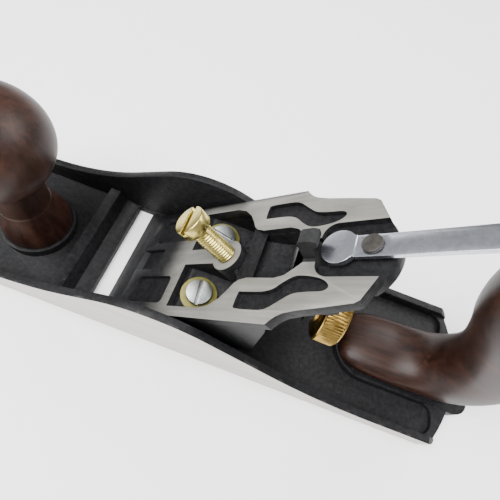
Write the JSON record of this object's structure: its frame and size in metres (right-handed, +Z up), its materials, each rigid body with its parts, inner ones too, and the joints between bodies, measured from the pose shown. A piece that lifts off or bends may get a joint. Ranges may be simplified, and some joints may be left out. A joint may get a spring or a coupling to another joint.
{
  "type": "hand plane",
  "caption": "Metal bench smoothing plane with a turned front knob, rear tote, adjustable 45 degree frog, depth wheel and lateral lever; blade assembly off",
  "frame": {"origin": "on the bottom face of the sole, midway along it and midway across it", "axes": "+X toward the heel, +Y toward the right cheek, +Z up away from the sole"},
  "size_m": [0.2594, 0.063, 0.1245],
  "materials": {
    "japanned_casting": "black japanned inside, ground bare iron on the sole and cheeks",
    "frog_iron": "ground pale seat, black japanned pockets and sides",
    "knob_wood": "dark red-brown hardwood, satin lacquer",
    "tote_wood": "dark red-brown hardwood, satin lacquer",
    "rod_steel": "plain steel",
    "screw_steel": "zinc plated, turned faces",
    "plate_steel": "stamped plain steel",
    "nut_brass": "turned brass",
    "washer_brass": "dull yellow plated washers",
    "cap_screw_brass": "bright pale brass",
    "wheel_brass": "knurled brass",
    "yoke_iron": "dark cast iron",
    "lever_chrome": "polished bright steel",
    "rivet_steel": "dark oxidised rivet head"
  },
  "bodies": {
    "plane_body": {"body_casting": "japanned_casting", "knob": "knob_wood", "knob_rod": "rod_steel", "knob_nut": "nut_brass", "tote": "tote_wood", "tote_rod": "rod_steel", "tote_nut": "nut_brass", "frog_screws": "screw_steel", "frog_washers": "washer_brass"},
    "frog_body": {"frog": "frog_iron", "yoke_pin": "rod_steel", "adjusting_stud": "rod_steel", "frog_adjusting_plate": "plate_steel", "frog_plate_screw": "screw_steel", "lateral_lever_rivet": "rivet_steel"},
    "frog_adjuster": {"frog_adjusting_screw": "screw_steel"},
    "yoke_body": {"yoke": "yoke_iron"},
    "nut_hub": {"adjusting_nut_hub": "wheel_brass"},
    "wheel": {"depth_adjusting_nut": "wheel_brass"},
    "cap_screw": {"lever_cap_screw": "cap_screw_brass"},
    "lever": {"lateral_lever": "lever_chrome"}
  },
  "joints": [
    {"name": "frog_slide", "type": "slide", "parent": "plane_body", "child": "frog_body", "axis": [1, 0, 0], "range_m": [-0.0015, 0.0015]},
    {"name": "frog_adjuster_turn", "type": "hinge", "parent": "frog_body", "child": "frog_adjuster", "pos_m": [0.025, 0, 0.015], "axis": [1, 0, 0], "range_deg": [-775, 775]},
    {"name": "nut_travel", "type": "slide", "parent": "frog_body", "child": "nut_hub", "axis": [1, 0, 0], "range_m": [-0.0033, 0.0033]},
    {"name": "wheel_turn", "type": "hinge", "parent": "nut_hub", "child": "wheel", "pos_m": [0.05, 0, 0.037], "axis": [1, 0, 0], "range_deg": [-1080, 1080]},
    {"name": "yoke_tilt", "type": "hinge", "parent": "frog_body", "child": "yoke_body", "pos_m": [0.04058, 0, 0.06541], "axis": [0, 1, 0], "range_deg": [-6.6, 6.6]},
    {"name": "cap_screw_turn", "type": "hinge", "parent": "frog_body", "child": "cap_screw", "pos_m": [0.00466, 0, 0.04646], "axis": [-0.7071, 0, 0.7071], "range_deg": [-180, 180]},
    {"name": "lever_swing", "type": "hinge", "parent": "frog_body", "child": "lever", "pos_m": [0.04447, 0, 0.08627], "axis": [-0.7071, 0, 0.7071], "range_deg": [-10, 10]}
  ],
  "couplings": [
    {"joint": "frog_adjuster_turn", "follows": "frog_slide", "rad_per_m": 8976},
    {"joint": "nut_travel", "follows": "wheel_turn", "m_per_rad": -0.00016844},
    {"joint": "yoke_tilt", "follows": "wheel_turn", "ratio": 0.0059294}
  ]
}
